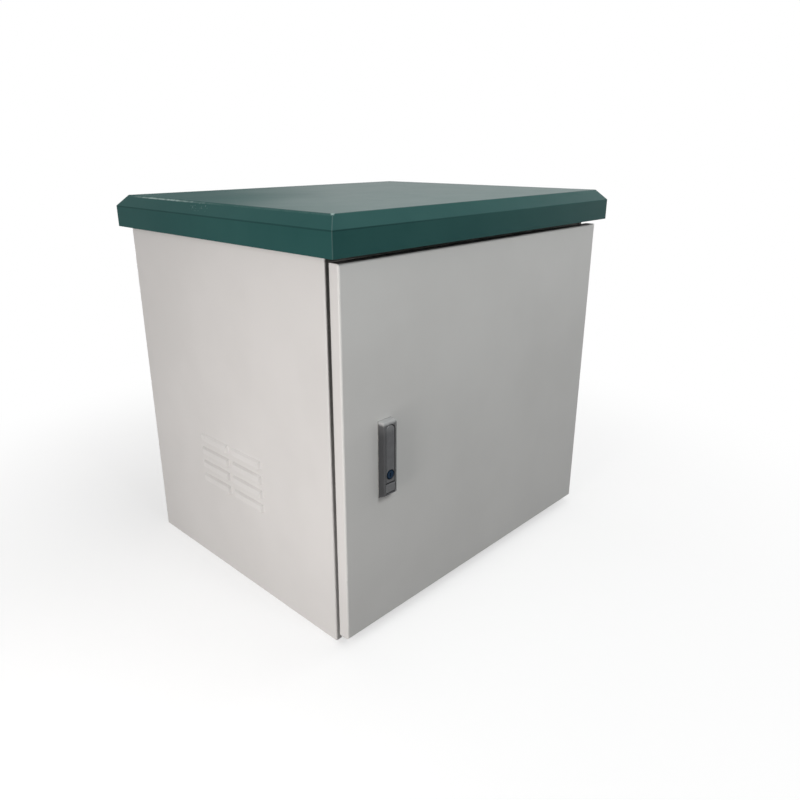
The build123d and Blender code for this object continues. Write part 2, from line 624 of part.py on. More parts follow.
def hinge(name, z):
    """Lift-off hinge: body leaf with its arm and pin, and the door leaf that drops onto the pin."""
    root = hinge_x - KNUCKLE_RADIUS
    arm = (root, root + HINGE_LEAF)
    leaf_front = frame_front - HINGE_LEAF
    lower = (z - KNUCKLE_HEIGHT, z)
    upper = (z + KNUCKLE_GAP, z + KNUCKLE_GAP + KNUCKLE_HEIGHT)
    pin = rod(HINGE_PIN_RADIUS, (hinge_x, hinge_y, lower[0]), (hinge_x, hinge_y, upper[1]))
    bore = rod(HINGE_PIN_RADIUS + RUNNING_GAP, (hinge_x, hinge_y, upper[0]), (hinge_x, hinge_y, upper[1]))
    leaf = block((root - BODY_LEAF_WIDTH, arm[1]), (leaf_front, frame_front), span(z, HINGE_LEAF_HEIGHT))
    leaf += block(arm, (hinge_y, frame_front), lower)
    leaf += rod(KNUCKLE_RADIUS, (hinge_x, hinge_y, lower[0]), (hinge_x, hinge_y, lower[1]))
    hole = HINGE_SCREW + 2 * RUNNING_GAP
    for x, height in hinge_screw_places():
        leaf -= block(span(x, hole), (leaf_front, frame_front), span(height, hole))
    edge = hinge_x + KNUCKLE_RADIUS
    wing_depth = (skin_back, skin_back + DOOR_LEAF)
    wing = block((edge - DOOR_LEAF_WIDTH, edge), wing_depth, span(z, HINGE_LEAF_HEIGHT))
    wing += block(span(hinge_x, 2 * KNUCKLE_RADIUS), (skin_back, hinge_y), upper)
    wing += rod(KNUCKLE_RADIUS, (hinge_x, hinge_y, upper[0]), (hinge_x, hinge_y, upper[1]))
    nodes[f"{name}_hinge_body_leaf"] = leaf - pin
    nodes[f"{name}_hinge_door_leaf"] = wing - bore
    nodes[f"{name}_hinge_pin"] = pin


def hinge_screws():
    """Screws that hold the body leaves to the front frame."""
    face = frame_front - HINGE_LEAF
    depths = (face - HINGE_SCREW_HEAD, face, face + HINGE_SCREW_LENGTH)
    screws = [
        bolt(HINGE_SCREW_FLATS, HINGE_SCREW, *[(x, y, z) for y in depths])
        for x, z in hinge_screw_places()
    ]
    nodes["hinge_screws"] = group(screws)


def neck(gap, y_front, y_back):
    """Neck of the handle housing where it passes the door, or its hole where there is a gap."""
    height = HOUSING_HEIGHT - 2 * NECK_END + 2 * gap
    return block(span(handle_x, NECK_WIDTH + 2 * gap), (y_front, y_back), span(HANDLE_CENTRE, height))


def keyhole_outline(half, low):
    """Upright strip with a round top about the lever's pivot."""
    strip = Pos(handle_x, (low + pivot_z) / 2) * Rectangle(2 * half, pivot_z - low)
    return strip + Pos(handle_x, pivot_z) * Circle(half)


def along_y(radius, z, y_front, y_back):
    """Round bar through the handle."""
    return rod(radius, (handle_x, y_front, z), (handle_x, y_back, z))


def handle():
    """Handle housing, its seal and the clamp that holds it in the door."""
    ends = [
        (housing_back, housing_bottom),
        (housing_front, housing_bottom + HOUSING_HEEL),
        (housing_front, housing_top - HOUSING_BROW_HEIGHT),
        (housing_front + HOUSING_BROW_DEPTH, housing_top),
        (housing_back, housing_top),
    ]
    side = Plane(origin=(handle_x - HOUSING_WIDTH / 2, 0, 0), x_dir=(0, 1, 0), z_dir=(1, 0, 0))
    body = extrude(side * make_face(Polyline(*ends, close=True)), HOUSING_WIDTH)
    body = chamfer([edge for edge in body.edges() if edge.center().Y < housing_back], HOUSING_EDGE)
    footprint = Pos(handle_x, HANDLE_CENTRE) * Rectangle(HOUSING_WIDTH, HOUSING_HEIGHT)
    seal = slab(footprint, housing_back, door_front) - neck(NECK_GAP, housing_back, door_front)
    body += neck(0, housing_back, neck_back)
    body -= slab(keyhole_outline(pocket_half, pocket_bottom), housing_front, pocket_floor)
    body -= along_y(SPINDLE_RADIUS + RUNNING_GAP, pivot_z, pocket_floor, neck_back)
    body += along_y(BARREL_RADIUS, key_z, cap_back + RUNNING_GAP, pocket_floor)
    body -= along_y(PLUG_RADIUS + RUNNING_GAP, key_z, cap_back, neck_back)
    clamp_back = neck_back + CLAMP_SHEET
    opening = NECK_WIDTH + 2 * NECK_GAP
    heights = span(clamp_z, CLAMP_HEIGHT)
    clamp = block(span(handle_x, opening + 2 * CLAMP_SHEET), (skin_back, clamp_back), heights)
    clamp -= block(span(handle_x, opening), (skin_back, neck_back), heights)
    screws = []
    hole = CLAMP_SCREW + 2 * RUNNING_GAP
    for x in span(handle_x, CLAMP_SCREW_SPREAD):
        tip = neck_back - CLAMP_SCREW_LENGTH
        passage = block(span(x, hole), (tip, clamp_back), span(clamp_z, hole))
        body -= passage
        clamp -= passage
        depths = (clamp_back + CLAMP_SCREW_HEAD, clamp_back, tip)
        screws.append(bolt(CLAMP_SCREW_FLATS, CLAMP_SCREW, *[(x, y, clamp_z) for y in depths]))
    nodes["handle_housing"] = body
    nodes["handle_seal"] = seal
    nodes["handle_clamp"] = clamp
    nodes["handle_clamp_screws"] = group(screws)


def lever():
    """Pull lever on its cross pin, and the spindle that carries the cam behind the front frame."""
    shape = slab(keyhole_outline(lever_half, lever_bottom), lever_front, lever_back)
    shape = chamfer(shape.faces().sort_by(Axis.Y)[0].edges(), LEVER_EDGE)
    top = pivot_z + lever_half
    tongue_x = span(handle_x, TONGUE_WIDTH)
    shape -= block(
        (tongue_x[0] - SLIDING_GAP, tongue_x[1] + SLIDING_GAP),
        (lever_front + LEVER_SKIN, lever_back),
        (pivot_z - lever_half, top),
    )
    side = Plane(origin=(handle_x - lever_half, 0, 0), x_dir=(0, 1, 0), z_dir=(1, 0, 0))
    slant = [(lever_back - LEVER_HEEL, top), (lever_back, top), (lever_back, top - LEVER_HEEL)]
    shape -= extrude(side * make_face(Polyline(*slant, close=True)), 2 * lever_half)
    shape -= along_y(BARREL_RADIUS + BARREL_CLEARANCE, key_z, lever_front, lever_back)
    pin_ends = [(x, pivot_y, pivot_z) for x in span(handle_x, 2 * (lever_half - LEVER_PIN_END_GAP))]
    bore_ends = [(x, pivot_y, pivot_z) for x in span(handle_x, 2 * lever_half)]
    bore = rod(LEVER_PIN_RADIUS + RUNNING_GAP, *bore_ends)
    spindle = block(tongue_x, (pivot_y, pocket_floor), span(pivot_z, 2 * tongue_radius))
    spindle += rod(tongue_radius, *[(x, pivot_y, pivot_z) for x in tongue_x])
    spindle += along_y(SPINDLE_RADIUS, pivot_z, pocket_floor, cam_front)
    square = span(handle_x, SPINDLE_TAIL), (cam_front, cam_back), span(pivot_z, SPINDLE_TAIL)
    spindle += block(*square)
    cam_height = (pivot_z - CAM_REACH, pivot_z + CAM_WIDTH / 2)
    cam = block(span(handle_x, CAM_WIDTH), (cam_front, cam_back), cam_height)
    cam = chamfer(cam.edges().filter_by(Axis.Y), CAM_CORNER)
    bolt_ends = [(handle_x, y, pivot_z) for y in (cam_back, cam_back + CAM_BOLT_HEAD)]
    nodes["handle_lever"] = shape - bore
    pin = rod(LEVER_PIN_RADIUS, *pin_ends)
    nodes["lever_pin"] = pin
    nodes["lock_spindle"] = spindle - pin
    nodes["lock_cam"] = cam - block(*square)
    nodes["cam_bolt"] = hexagon(CAM_BOLT_FLATS, *bolt_ends)


def lock():
    """Release button below the lever, and the key cylinder that passes through the lever."""
    button_depth = (button_front, button_front + BUTTON_DEPTH)
    button = block(span(handle_x, 2 * lever_half), button_depth, (button_bottom, button_top))
    keyway_depth = (lever_front, cap_back + KEYWAY_DEPTH)
    keyway = block(span(handle_x, KEYWAY_WIDTH), keyway_depth, span(key_z, KEYWAY_LENGTH))
    nodes["release_button"] = chamfer(button.faces().sort_by(Axis.Y)[0].edges(), BUTTON_EDGE)
    nodes["key_plug"] = along_y(PLUG_RADIUS, key_z, cap_back, neck_back + PLUG_TAIL) - keyway
    nodes["key_cap"] = along_y(BARREL_RADIUS, key_z, lever_front, cap_back) - keyway


side_panels()
filters()
back_panel()
base()
earth()
front_frame()
top()
canopy()
rack()
door()
for hinge_name, hinge_height in hinge_heights.items():
    hinge(hinge_name, hinge_height)
hinge_screws()
handle()
lever()
lock()

for node_name, node_shape in nodes.items():
    export_step(node_shape, f"parts/{node_name}.step")
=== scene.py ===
import json
import math
from collections import namedtuple

import bpy
from mathutils import Matrix, Vector


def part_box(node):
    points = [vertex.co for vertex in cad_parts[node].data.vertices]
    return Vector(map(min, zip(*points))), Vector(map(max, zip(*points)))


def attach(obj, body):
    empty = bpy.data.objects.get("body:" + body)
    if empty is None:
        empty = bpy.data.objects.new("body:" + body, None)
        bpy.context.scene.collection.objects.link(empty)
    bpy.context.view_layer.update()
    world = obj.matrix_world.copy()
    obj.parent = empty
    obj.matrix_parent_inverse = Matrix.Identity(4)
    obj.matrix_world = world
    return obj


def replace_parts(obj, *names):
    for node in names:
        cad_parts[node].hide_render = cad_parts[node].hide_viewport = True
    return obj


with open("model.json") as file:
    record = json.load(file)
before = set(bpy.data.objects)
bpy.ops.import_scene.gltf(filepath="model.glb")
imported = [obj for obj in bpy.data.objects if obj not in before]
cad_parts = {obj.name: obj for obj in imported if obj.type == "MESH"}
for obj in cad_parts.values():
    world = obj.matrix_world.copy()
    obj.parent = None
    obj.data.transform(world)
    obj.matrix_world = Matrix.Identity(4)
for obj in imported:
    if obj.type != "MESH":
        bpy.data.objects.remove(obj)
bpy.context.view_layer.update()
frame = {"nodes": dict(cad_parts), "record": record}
nodes = frame["nodes"]

MM = 0.001
TURN = 2 * math.pi
X, Y, Z = range(3)
UP, DOWN = (0, 0, 1), (0, 0, -1)
FRONT, BACK = (0, -1, 0), (0, 1, 0)

# Sockets of a Mix node that mixes colours
MIX_SHARE, MIX_FIRST, MIX_SECOND = 0, 6, 7
MIX_RESULT = 2


class Value:
    """A socket in a material's nodes; arithmetic on it adds Math nodes."""

    def __init__(self, tree, socket=None):
        self.tree = tree
        self.socket = socket

    def add(self, kind, settings=None, inputs=None, output=0):
        """Any node: its settings first, then the values or links of its sockets."""
        node = self.tree.nodes.new(kind)
        for name, value in (settings or {}).items():
            setattr(node, name, value)
        for name, value in (inputs or {}).items():
            if isinstance(value, Value):
                self.tree.links.new(value.socket, node.inputs[name])
            else:
                node.inputs[name].default_value = value
        return Value(self.tree, node.outputs[output] if len(node.outputs) else None)

    def maths(self, operation, *terms):
        """A Math node on values or numbers."""
        return self.add("ShaderNodeMath", {"operation": operation}, dict(enumerate(terms)))

    def __add__(self, other):
        return self.maths("ADD", self, other)

    __radd__ = __add__

    def __sub__(self, other):
        return self.maths("SUBTRACT", self, other)

    def __rsub__(self, other):
        return self.maths("SUBTRACT", other, self)

    def __mul__(self, other):
        return self.maths("MULTIPLY", self, other)

    __rmul__ = __mul__

    def __pow__(self, other):
        return self.maths("POWER", self, other)

    def __rpow__(self, other):
        return self.maths("POWER", other, self)

    def __abs__(self):
        return self.maths("ABSOLUTE", self)

    def larger(self, other):
        """The larger of two values."""
        return self.maths("MAXIMUM", self, other)

    def ramp(self, low, high):
        """0 below low, 1 above high and smooth between; the other way round where high is lower."""
        inputs = {"From Min": low, "From Max": high, "Value": self}
        return self.add("ShaderNodeMapRange", {"interpolation_type": "SMOOTHSTEP"}, inputs)

    def band(self, middle, half, soft):
        """1 within half of the middle, fading over soft beyond it."""
        return abs(self - middle).ramp(half + soft, half)

    def axis(self, way):
        """The X, Y or Z of a place."""
        return self.add("ShaderNodeSeparateXYZ", None, {0: self}, way)

    def stretched(self, scale):
        """The place scaled along each axis, for grain that runs one way."""
        return self.add("ShaderNodeVectorMath", {"operation": "MULTIPLY"}, {0: self, 1: scale})

    def noise(self, size, detail=3.0, rough=0.55):
        """Noise with features of about that size, in metres."""
        inputs = {"Vector": self, "Scale": 1 / size, "Detail": detail, "Roughness": rough}
        return self.add("ShaderNodeTexNoise", {"noise_dimensions": "3D"}, inputs)

    def cells(self, size):
        """Cells of about that size, in metres: 0 in the middle of each and growing outwards."""
        inputs = {"Vector": self, "Scale": 1 / size}
        return self.add("ShaderNodeTexVoronoi", {"feature": "F1"}, inputs)

    def tint(self, first, second):
        """First colour where this is 0 and second where it is 1; each is a colour or a link."""
        ends = [colour if isinstance(colour, Value) else (*colour, 1) for colour in (first, second)]
        inputs = {MIX_SHARE: self, MIX_FIRST: ends[0], MIX_SECOND: ends[1]}
        return self.add("ShaderNodeMix", {"data_type": "RGBA"}, inputs, MIX_RESULT)

    def bump(self, strength, depth):
        """Normal of a surface raised by this height, depth metres for 1."""
        inputs = {"Strength": strength, "Distance": depth, "Height": self}
        return self.add("ShaderNodeBump", None, inputs)


def make_finish(name, recipe, **fixed):
    """Material whose recipe turns the place on the object into what varies over its surface."""
    material = bpy.data.materials.new(name)
    material.use_nodes = True
    tree = material.node_tree
    tree.nodes.clear()
    place = Value(tree).add("ShaderNodeTexCoord", output="Object")
    constants = {socket.replace("_", " "): value for socket, value in fixed.items()}
    shader = place.add("ShaderNodeBsdfPrincipled", None, {**recipe(place), **constants})
    place.add("ShaderNodeOutputMaterial", None, {"Surface": shader})
    return material


# Powder coat of the body and door; the pairs are where painted shade starts and where it is full
door_low, door_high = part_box("door_panel")
DOOR_TOP = door_high.z
DOOR_FRONT = door_low.y
DOOR_BACK = door_high.y
BODY_SIDE = door_high.x
BODY_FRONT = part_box("left_side_panel")[0].y
LOUVRE_LENGTH = 77 * MM
LOUVRE_GAP = 9 * MM
LOUVRE_FRONT_ENDS = (-LOUVRE_GAP / 2 - LOUVRE_LENGTH, LOUVRE_GAP / 2)
LOUVRE_END_HALF = 2.5 * MM
LOUVRE_END_FADE = 3 * MM
LOUVRE_END_SHADE = 0.16
LOUVRE_PROUD = (BODY_SIDE + 0.3 * MM, BODY_SIDE + 1.2 * MM)
EAVES_TOP = (DOOR_TOP - 2.0 * MM, DOOR_TOP - 0.2 * MM)
EAVES_SIDE = (BODY_SIDE - 0.5 * MM, BODY_SIDE - 2.0 * MM)
EAVES_FRONT = (DOOR_FRONT + 1.0 * MM, DOOR_FRONT + 3.0 * MM)
EAVES_BACK = (BODY_FRONT + 4.0 * MM, BODY_FRONT + 1.0 * MM)
SLOT_FRONT = (DOOR_BACK - 1.5 * MM, DOOR_BACK)
SLOT_BACK = (BODY_FRONT + 0.8 * MM, BODY_FRONT)
SLOT_SIDE = (BODY_SIDE - 14 * MM, BODY_SIDE - 4 * MM)
SLOT_HEIGHT = (-50 * MM, 580 * MM)
SHADE_PATCH = 6 * MM
# Colour of the painted shade in the eaves, the door slot and at the louvre ends
BODY_SHADE_COLOUR = (0.115, 0.110, 0.102)

POWDER_GREY = (0.600, 0.592, 0.578)
POWDER_PALE = (0.632, 0.624, 0.610)
POWDER_SPECK = (0.50, 0.49, 0.475)
POWDER_PEEL = 1.9 * MM
POWDER_CLOUD = 190 * MM
SPECK_SIZE = 1.1 * MM
FINE_PEEL = 0.6 * MM
PEEL_HEIGHT = 0.10 * MM


def painted_body_shade(place):
    """Painted shade: darker in the eaves above the door, in the slot beside it and at the louvres' front
    ends.
    """
    side, y, z = abs(place.axis(X)), place.axis(Y), place.axis(Z)
    eaves_shade = z.ramp(*EAVES_TOP) * side.ramp(*EAVES_SIDE) * y.ramp(*EAVES_FRONT) * y.ramp(*EAVES_BACK)
    slot_shade = y.ramp(*SLOT_FRONT) * y.ramp(*SLOT_BACK) * side.ramp(*SLOT_SIDE) * z.ramp(*SLOT_HEIGHT)
    ends = sum(y.band(end, LOUVRE_END_HALF, LOUVRE_END_FADE) for end in LOUVRE_FRONT_ENDS)
    shaded = eaves_shade.larger(slot_shade) + side.ramp(*LOUVRE_PROUD) * ends * LOUVRE_END_SHADE
    return shaded * (0.80 + place.noise(SHADE_PATCH, 4.0) * 0.3)


def powder_coat(place):
    """Light grey powder coat: fine orange peel, faint clouds, sparse dark specks and painted shade in the
    eaves, the door slot and at the louvre ends.
    """
    peel = place.noise(POWDER_PEEL, 2.0) * 0.7 + place.noise(FINE_PEEL, 2.0) * 0.3
    clouds = place.noise(POWDER_CLOUD)
    speck = place.noise(SPECK_SIZE, 1.0).ramp(0.70, 0.76)
    # Painted shade where the eaves, the door slot and the louvre ends lie in shadow
    body_shade = painted_body_shade(place)
    colour = clouds.ramp(0.32, 0.68).tint(POWDER_GREY, POWDER_PALE)
    colour = (speck * 0.35).tint(colour, POWDER_SPECK)
    return {
        "Base Color": body_shade.tint(colour, BODY_SHADE_COLOUR),
        "Roughness": 0.40 + peel * 0.10 + clouds * 0.06 + body_shade * 0.25,
        "Normal": peel.bump(0.30, PEEL_HEIGHT),
    }


# Roof paint; the pairs are where something starts and where it is full
canopy_low, canopy_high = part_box("roof_canopy")
ROOF_BEVEL_RUN = 15.5 * MM
ROOF_BEVEL_RISE = 16.5 * MM
ROOF_TOP = canopy_high.z
ROOF_SHOULDER = ROOF_TOP - ROOF_BEVEL_RISE
ROOF_RIM_X = canopy_low.x + ROOF_BEVEL_RUN
ROOF_RIM_Y = canopy_low.y + ROOF_BEVEL_RUN
FLAT_TOP = (ROOF_TOP - 1.0 * MM, ROOF_TOP - 0.2 * MM)
BEVEL_FOOT = (ROOF_SHOULDER - 1 * MM, ROOF_SHOULDER + 1 * MM)
BEVEL_SIDE = (ROOF_RIM_X + 1 * MM, ROOF_RIM_X - 1 * MM)

ROOF_TEAL = (0.0150, 0.066, 0.063)
ROOF_TEAL_FADED = (0.0230, 0.082, 0.077)
ROOF_PEEL = 2.2 * MM
ROOF_CLOUD = 150 * MM
ROOF_GLOSS = 0.06

# Pale film on the flat top: partly dust, partly painted sheen standing for light reflected off the top
ROOF_DUST_AND_SHEEN = (0.190, 0.240, 0.232)
DUST_AND_SHEEN_COVER = 0.60
DUST_AND_SHEEN_DRIFT = 45 * MM
DUST_AND_SHEEN_GRAIN = 3.0 * MM
FILM_PATCH = 220 * MM
FILM_WANDER = 160 * MM
FILM_EDGES = (-230 * MM, 50 * MM)

# Painted shade: a dark line along the fold at the roof's shoulder
FOLD_SHADE = (0.005, 0.030, 0.029)
FOLD_SHADE_COVER = 0.55
FOLD_SHADE_SPAN = (80 * MM, -290 * MM)
FOLD_DROP = -0.9 * MM
FOLD_HALF = 0.5 * MM
FOLD_FADE = 0.9 * MM

# Wear of the roof's left rim and front left corner, and a painted highlight along the whole left rim
WORN_EDGE_AND_HIGHLIGHT = (0.46, 0.60, 0.57)
WEAR_X = ROOF_RIM_X - 1.5 * MM
WEAR_LINE = (1.6 * MM, 0.4 * MM)
RUB_PATCH = 9 * MM
RIM_HIGHLIGHT_FRONT = (ROOF_RIM_Y - 1 * MM, ROOF_RIM_Y + 1 * MM)
BRIGHT_FRONT = (-35 * MM, 95 * MM)
BRIGHT_BACK = (232 * MM, 160 * MM)
FLAKES_INNER = (0.0, -3 * MM)
FLAKES_OUTER = (-13 * MM, -6 * MM)
FLAKES_MIDDLE = 12 * MM
FLAKES_HALF = 16 * MM
FLAKE_SIZE = 3.2 * MM
FLAKE_PATCH = 5 * MM
CORNER_WEAR = (5.5 * MM, 2.5 * MM)


def roof_wear_and_highlight(place, x, y, z):
    """How bare the roof is: its rubbed left rim, flakes beside it and the front left corner's mitre; the
    faint share of the rim line along its whole length is a painted highlight.
    """
    from_line = x - WEAR_X
    faint = y.ramp(*RIM_HIGHLIGHT_FRONT)
    bright = y.ramp(*BRIGHT_FRONT) * y.ramp(*BRIGHT_BACK)
    rubbed = 0.6 + place.noise(RUB_PATCH, 4.0).ramp(0.36, 0.60) * 0.4
    # The faint share along the whole left rim is a painted highlight; the bright stretch is wear
    rim = abs(from_line).ramp(*WEAR_LINE) * (faint * 0.22 + bright * 0.78) * rubbed
    field = from_line.ramp(*FLAKES_INNER) * from_line.ramp(*FLAKES_OUTER)
    field = field * y.band(FLAKES_MIDDLE, FLAKES_HALF, FLAKES_HALF)
    flakes = place.cells(FLAKE_SIZE).ramp(0.36, 0.26) * place.noise(FLAKE_PATCH).ramp(0.47, 0.56)
    off_mitre = abs(x - y - (ROOF_RIM_X - ROOF_RIM_Y))
    mitre = off_mitre.ramp(*WEAR_LINE) * x.ramp(*BEVEL_SIDE)
    off_corner = abs(x - ROOF_RIM_X) + abs(y - ROOF_RIM_Y) + abs(z - ROOF_TOP)
    corner = off_corner.ramp(*CORNER_WEAR)
    return rim * 0.58 + flakes * field * 0.30 + mitre * 0.19 + corner * 0.48


def roof_paint(place):
    """Dark green satin roof paint: a pale film on top that is partly dust and partly painted sheen, painted
    shade in the fold, worn on the left with a painted highlight along the left rim.
    """
    x, y, z = place.axis(X), place.axis(Y), place.axis(Z)
    peel = place.noise(ROOF_PEEL, 2.0) * 0.75 + place.noise(FINE_PEEL, 2.0) * 0.25
    clouds = place.noise(ROOF_CLOUD, 4.0)
    on_top = z.ramp(*FLAT_TOP)
    sheen_film = (x * 0.8 - y * 0.6 + place.noise(FILM_PATCH, 2.0) * FILM_WANDER).ramp(*FILM_EDGES)
    drift = place.noise(DUST_AND_SHEEN_DRIFT, 6.0, 0.7)
    # Pale film on the top: dust and painted sheen
    dust = on_top * (0.12 + sheen_film * 0.88)
    dust = dust * (0.25 + drift * 0.6 + place.noise(DUST_AND_SHEEN_GRAIN, 5.0) * 0.3)
    bare_and_highlight = roof_wear_and_highlight(place, x, y, z)
    fold = (z - ROOF_SHOULDER).band(FOLD_DROP, FOLD_HALF, FOLD_FADE)
    faded = clouds.ramp(0.3, 0.7) * 0.7 + z.ramp(*BEVEL_FOOT) * 0.3
    colour = faded.tint(ROOF_TEAL, ROOF_TEAL_FADED)
    # Painted shade along the fold
    colour = (fold * x.ramp(*FOLD_SHADE_SPAN) * FOLD_SHADE_COVER).tint(colour, FOLD_SHADE)
    colour = (dust * DUST_AND_SHEEN_COVER).tint(colour, ROOF_DUST_AND_SHEEN)
    return {
        "Base Color": bare_and_highlight.ramp(0.0, 1.0).tint(colour, WORN_EDGE_AND_HIGHLIGHT),
        "Roughness": 0.48 + clouds * 0.08 + on_top * (0.12 - sheen_film * 0.24),
        "Normal": (peel - bare_and_highlight * 0.6).bump(0.28, PEEL_HEIGHT),
    }


# Castings of the swing handle; the pairs are where the painted sheen, the painted rim light and the button's
# wear start and where they are full
housing_low, housing_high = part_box("handle_housing")
HANDLE_TOP = housing_high.z
HANDLE_FRONT = housing_low.y
HANDLE_X = (housing_low.x + housing_high.x) / 2
BUTTON_RUBBED_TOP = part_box("release_button")[1].z - 0.9 * MM
HANDLE_DARK = (0.026, 0.027, 0.029)
HANDLE_RUBBED = (0.046, 0.048, 0.051)
# Pale tint of the painted sheen and painted rim light on the handle, and of the button's wear
HANDLE_PALE = (0.40, 0.405, 0.405)
HANDLE_GRAIN = 0.35 * MM
HANDLE_GRAIN_HEIGHT = 0.05 * MM
HANDLE_RUB = 11 * MM
# Painted sheen: paler towards the housing's top end, where light from above falls
TOP_SHEEN = (HANDLE_TOP - 6 * MM, HANDLE_TOP - 1 * MM)
TOP_SHEEN_PATCH = 4 * MM
TOP_SHEEN_WANDER = 3 * MM
UPPER_SHEEN = (HANDLE_TOP - 24 * MM, HANDLE_TOP - 4 * MM)
# Painted light on the housing's right rim, which lies in shade
RIM_LIGHT = (HANDLE_X + 7.5 * MM, HANDLE_X + 9.5 * MM)
RIM_LIGHT_FRONT = (HANDLE_FRONT + 6 * MM, HANDLE_FRONT + 4 * MM)
LEVER_DARK = (0.052, 0.053, 0.057)
LEVER_RUBBED = (0.088, 0.090, 0.095)
LEVER_GRAIN = 0.4 * MM
LEVER_GRAIN_HEIGHT = 0.04 * MM
LEVER_RUB = 8 * MM
# Painted sheen towards the lever's top; the button's paler end is wear
LEVER_SHEEN = (HANDLE_TOP - 20 * MM, HANDLE_TOP - 4 * MM)
BUTTON_WEAR = (BUTTON_RUBBED_TOP + 1 * MM, BUTTON_RUBBED_TOP)


def cast_handle(place):
    """Dark satin coat of the handle's zinc casting, fine-grained, with a painted pale sheen towards its top
    end and painted light on its right rim.
    """
    x, y, z = place.axis(X), place.axis(Y), place.axis(Z)
    grain = place.noise(HANDLE_GRAIN, 2.0)
    rub = place.noise(HANDLE_RUB, 4.0).ramp(0.45, 0.75)
    uneven = (place.noise(TOP_SHEEN_PATCH) - 0.5) * TOP_SHEEN_WANDER
    # Painted sheen towards the top end
    paling = (z + uneven).ramp(*TOP_SHEEN) * 0.85 + z.ramp(*UPPER_SHEEN) * 0.10
    # Painted light on the right rim
    lit_right_rim = x.ramp(*RIM_LIGHT) * y.ramp(*RIM_LIGHT_FRONT)
    coat = (grain * 0.6 + rub * 0.4).tint(HANDLE_DARK, HANDLE_RUBBED)
    return {
        "Base Color": paling.larger(lit_right_rim * 0.34).tint(coat, HANDLE_PALE),
        "Roughness": 0.30 + grain * 0.14 - rub * 0.05,
        "Normal": grain.bump(0.30, HANDLE_GRAIN_HEIGHT),
    }


def lever_coat(place):
    """Paler satin coat of the lever and button, handled smooth, with a painted sheen towards the lever's top
    and the button worn a little paler.
    """
    z = place.axis(Z)
    grain = place.noise(LEVER_GRAIN, 2.0)
    rub = place.noise(LEVER_RUB, 4.0).ramp(0.4, 0.7)
    # Painted sheen on the lever's top; wear on the button
    paling = z.ramp(*LEVER_SHEEN) * 0.30 + z.ramp(*BUTTON_WEAR) * 0.10
    coat = (grain * 0.5 + rub * 0.5).tint(LEVER_DARK, LEVER_RUBBED)
    return {
        "Base Color": paling.tint(coat, HANDLE_PALE),
        "Roughness": 0.28 + grain * 0.12,
        "Normal": grain.bump(0.25, LEVER_GRAIN_HEIGHT),
    }


# Plated metal
ZINC_BLUE = (0.50, 0.53, 0.57)
ZINC_STRAW = (0.58, 0.56, 0.50)
ZINC_MARK = (0.42, 0.43, 0.44)
ROLLING_MARK = 0.8 * MM
ROLLING_HEIGHT = 0.03 * MM
ROLLING_SCALE = (1, 1, 0.05)
ZINC_CLOUD = 30 * MM


def zinc_plate(place):
    """Clear-passivated zinc plate: faint blue and straw clouds over fine rolling marks."""
    rolled = place.stretched(ROLLING_SCALE).noise(ROLLING_MARK)
    clouds = place.noise(ZINC_CLOUD, 4.0)
    colour = clouds.ramp(0.35, 0.65).tint(ZINC_BLUE, ZINC_STRAW)
    return {
        "Base Color": rolled.ramp(0.62, 0.8).tint(colour, ZINC_MARK),
        "Roughness": 0.28 + rolled * 0.14 + clouds * 0.08,
        "Normal": rolled.bump(0.20, ROLLING_HEIGHT),
    }


# Key plug and its cap
KEY_RADIUS = 6 * MM
KEY_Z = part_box("key_cap")[1].z - KEY_RADIUS
RING_PITCH = 0.35 * MM
RING_HEIGHT = 0.02 * MM
NICKEL_DULL = (0.58, 0.57, 0.54)
NICKEL_BRIGHT = (0.68, 0.67, 0.64)
NICKEL_HAZE = 1.5 * MM
CAP_BLUE = (0.001, 0.016, 0.042)
CAP_BLUE_PALE = (0.002, 0.028, 0.070)
CAP_SCRATCH = (0.35, 0.40, 0.48)
CAP_HAZE = 2 * MM
CAP_GLOSS = 0.08
SCRATCH_WIDTH = 0.25 * MM
SCRATCH_SCALE = (1, 1, 0.12)
SCRATCHED_REACH = (4.5 * MM, 2.0 * MM)


def key_reach(place):
    """Distance from the key's axis."""
    return ((place.axis(X) - HANDLE_X) ** 2.0 + (place.axis(Z) - KEY_Z) ** 2.0) ** 0.5


def turned_rings(reach):
    """Rings that turning leaves round the key's axis."""
    return reach.maths("SINE", reach * (TURN / RING_PITCH)) * 0.5 + 0.5


def turned_nickel(place):
    """Nickel-plated plug with turning rings."""
    rings = turned_rings(key_reach(place))
    haze = place.noise(NICKEL_HAZE)
    return {
        "Base Color": haze.tint(NICKEL_DULL, NICKEL_BRIGHT),
        "Roughness": 0.16 + rings * 0.10 + haze * 0.08,
        "Normal": rings.bump(0.15, RING_HEIGHT),
    }


def blue_cap(place):
    """Blue key cap with turning rings, its middle scratched by keys."""
    reach = key_reach(place)
    scratch = place.stretched(SCRATCH_SCALE).noise(SCRATCH_WIDTH).ramp(0.62, 0.72)
    scratch = scratch * reach.ramp(*SCRATCHED_REACH)
    haze = place.noise(CAP_HAZE)
    return {
        "Base Color": (scratch * 0.3).tint(haze.tint(CAP_BLUE, CAP_BLUE_PALE), CAP_SCRATCH),
        "Roughness": 0.18 + haze * 0.12 + scratch * 0.25,
        "Normal": turned_rings(reach).bump(0.10, RING_HEIGHT),
    }


